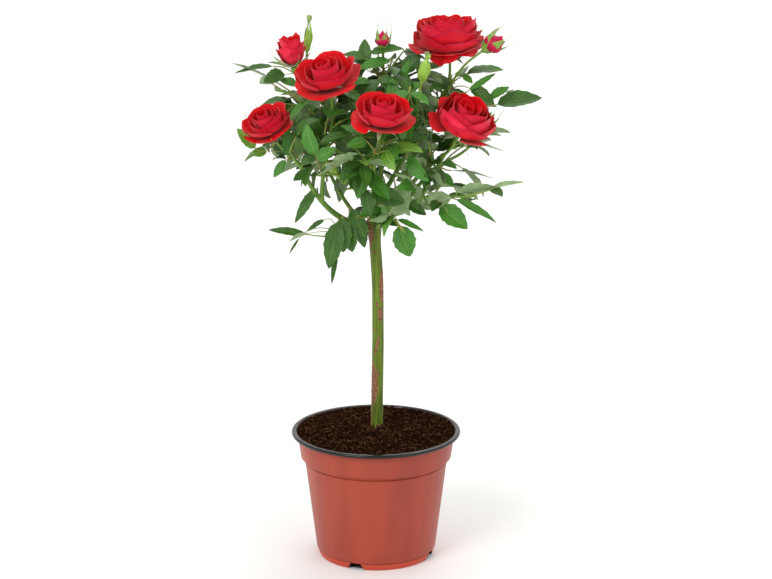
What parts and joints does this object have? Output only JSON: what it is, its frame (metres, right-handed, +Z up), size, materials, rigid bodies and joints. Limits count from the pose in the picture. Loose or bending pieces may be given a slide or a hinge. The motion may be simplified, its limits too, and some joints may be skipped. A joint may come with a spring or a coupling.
{
  "type": "potted standard rose bush",
  "caption": "Dwarf rose bush trained as a standard: a bare green stem in a filled nursery pot carries a round leafy head with open blooms and buds.",
  "frame": {"origin": "middle of the pot's flat underside, on the surface that it stands on", "axes": "+Z up along the stem, -Y towards the front of the plant, +X to its right as seen from the front"},
  "size_m": [0.2319, 0.187, 0.4191],
  "materials": {
    "pot": "satin thermoformed polypropylene, terracotta red",
    "peat": "moist dark brown peat",
    "bark": "smooth green rose stem with brown corky patches",
    "shoot": "smooth yellow-green shoots",
    "leaf": "satin green leaves",
    "petal": "velvety red petals",
    "bud": "green sepals"
  },
  "bodies": {
    "root": {"bough_back": "shoot", "bough_back_left": "shoot", "bough_back_low": "shoot", "bough_back_right": "shoot", "bough_front": "shoot", "bough_front_right": "shoot", "bough_left": "shoot", "bough_left_fork": "shoot", "bough_low_front": "shoot", "bough_low_left": "shoot", "bough_mid_left": "shoot", "bough_right": "shoot", "bough_right_low": "shoot", "bough_side_left": "shoot", "bough_side_right": "shoot", "bough_top": "shoot", "bough_top_back": "shoot", "bough_top_left": "shoot", "bough_top_right": "shoot", "bud_front_right": "bud", "bud_left_tall": "bud", "bud_low": "bud", "bud_right_red": "bud", "bud_side_left": "bud", "bud_side_right": "bud", "bud_top": "bud", "leaves_back": "leaf", "leaves_back_left": "leaf", "leaves_back_low": "leaf", "leaves_back_right": "leaf", "leaves_front": "leaf", "leaves_front_right": "leaf", "leaves_left": "leaf", "leaves_left_fork": "leaf", "leaves_low_front": "leaf", "leaves_low_left": "leaf", "leaves_mid_left": "leaf", "leaves_right": "leaf", "leaves_right_low": "leaf", "leaves_side_left": "leaf", "leaves_side_right": "leaf", "leaves_top": "leaf", "leaves_top_back": "leaf", "leaves_top_left": "leaf", "leaves_top_right": "leaf", "peat": "peat", "pot": "pot", "rose_back_f": "petal", "rose_back_g": "petal", "rose_back_h": "petal", "rose_back_i": "petal", "rose_front_a": "petal", "rose_front_b": "petal", "rose_front_c": "petal", "rose_front_e": "petal", "rose_half_open": "petal", "rose_top_d": "petal", "trunk": "bark"}
  },
  "joints": []
}
